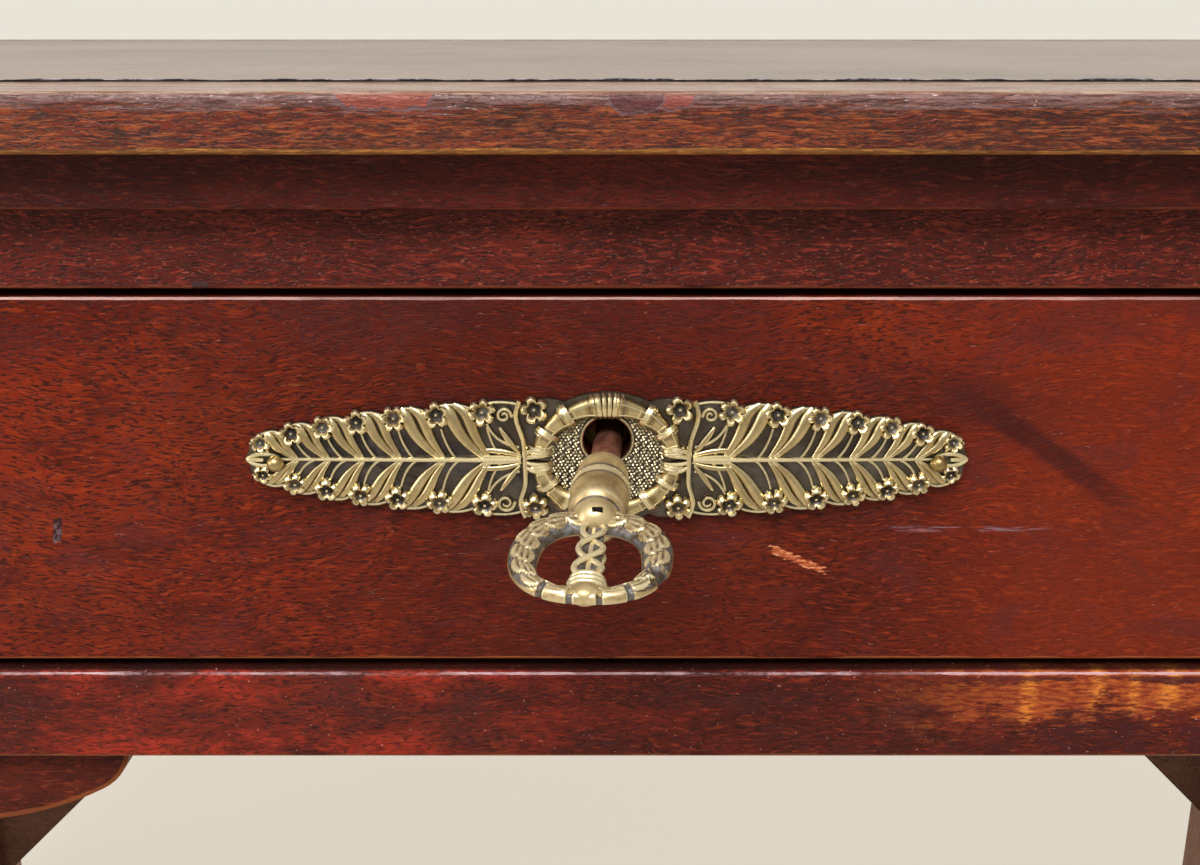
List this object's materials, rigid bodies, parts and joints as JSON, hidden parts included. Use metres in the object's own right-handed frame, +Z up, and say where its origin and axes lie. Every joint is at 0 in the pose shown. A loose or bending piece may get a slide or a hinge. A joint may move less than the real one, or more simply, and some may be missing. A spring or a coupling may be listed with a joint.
{
  "type": "writing desk",
  "caption": "Flat-topped mahogany writing desk with a leather field, three sliding frieze drawers, leafy brass keyhole plates, and a key that turns and lifts the lock bolt.",
  "frame": {"origin": "on the floor, in the middle of the rectangle that the desk and its key cover", "axes": "+X to the right along the front, +Y to the back, +Z up; the key and the drawers face -Y"},
  "size_m": [1.166, 0.7319, 0.76],
  "materials": {
    "mahogany": "worn french polish, red-brown",
    "dark_mahogany": "darkened french polish",
    "oak": "dry, unpolished",
    "leather": "waxed, smooth",
    "gilt_brass": "aged, dark in the hollows",
    "lock_brass": "dull",
    "iron": "brown, lightly rusted"
  },
  "bodies": {
    "carcase": {"top_core": "oak", "writing_field": "leather", "border_front": "mahogany", "border_back": "mahogany", "border_left": "mahogany", "border_right": "mahogany", "moulding_front": "dark_mahogany", "moulding_back": "dark_mahogany", "moulding_left": "dark_mahogany", "moulding_right": "dark_mahogany", "leg_front_left": "mahogany", "leg_front_right": "mahogany", "leg_back_left": "mahogany", "leg_back_right": "mahogany", "upper_rail": "mahogany", "lower_rail": "mahogany", "side_panel_left": "mahogany", "side_panel_right": "mahogany", "back_panel": "mahogany", "divider_left": "mahogany", "divider_right": "mahogany", "drawer_runners": "oak", "drawer_kickers": "oak", "drawer_stops": "oak", "glue_blocks": "oak", "apron_left": "mahogany", "apron_right": "mahogany", "rear_stretcher": "mahogany"},
    "left_drawer": {"left_drawer_front": "mahogany", "left_drawer_side_left": "oak", "left_drawer_side_right": "oak", "left_drawer_back": "oak", "left_drawer_bottom": "oak", "left_keyhole_plate": "gilt_brass", "left_plate_pins": "gilt_brass", "left_lock_case": "lock_brass", "left_lock_screws": "iron"},
    "left_bolt": {"left_lock_bolt": "iron"},
    "centre_drawer": {"centre_drawer_front": "mahogany", "centre_drawer_side_left": "oak", "centre_drawer_side_right": "oak", "centre_drawer_back": "oak", "centre_drawer_bottom": "oak", "centre_keyhole_plate": "gilt_brass", "centre_plate_pins": "gilt_brass", "centre_lock_case": "lock_brass", "centre_lock_screws": "iron"},
    "centre_bolt": {"centre_lock_bolt": "iron"},
    "right_drawer": {"right_drawer_front": "mahogany", "right_drawer_side_left": "oak", "right_drawer_side_right": "oak", "right_drawer_back": "oak", "right_drawer_bottom": "oak", "right_keyhole_plate": "gilt_brass", "right_plate_pins": "gilt_brass", "right_lock_case": "lock_brass", "right_lock_screws": "iron"},
    "right_bolt": {"right_lock_bolt": "iron"},
    "key": {"key_shank": "iron", "key_handle": "gilt_brass"}
  },
  "joints": [
    {"name": "left_drawer_slide", "type": "slide", "parent": "carcase", "child": "left_drawer", "axis": [0, -1, 0], "range_m": [0, 0.36]},
    {"name": "centre_drawer_slide", "type": "slide", "parent": "carcase", "child": "centre_drawer", "axis": [0, -1, 0], "range_m": [0, 0.36]},
    {"name": "right_drawer_slide", "type": "slide", "parent": "carcase", "child": "right_drawer", "axis": [0, -1, 0], "range_m": [0, 0.36]},
    {"name": "key_turn", "type": "hinge", "parent": "centre_drawer", "child": "key", "pos_m": [0, -0.2982, 0.6725], "axis": [0.0742, 0.9867, 0.1444], "range_deg": [0, 90]},
    {"name": "left_bolt_slide", "type": "slide", "parent": "left_drawer", "child": "left_bolt", "axis": [0, 0, 1], "range_m": [0, 0.008]},
    {"name": "centre_bolt_slide", "type": "slide", "parent": "centre_drawer", "child": "centre_bolt", "axis": [0, 0, 1], "range_m": [0, 0.008]},
    {"name": "right_bolt_slide", "type": "slide", "parent": "right_drawer", "child": "right_bolt", "axis": [0, 0, 1], "range_m": [0, 0.008]}
  ],
  "couplings": [
    {"joint": "key_turn", "follows": "centre_bolt_slide", "rad_per_m": 196.35}
  ]
}
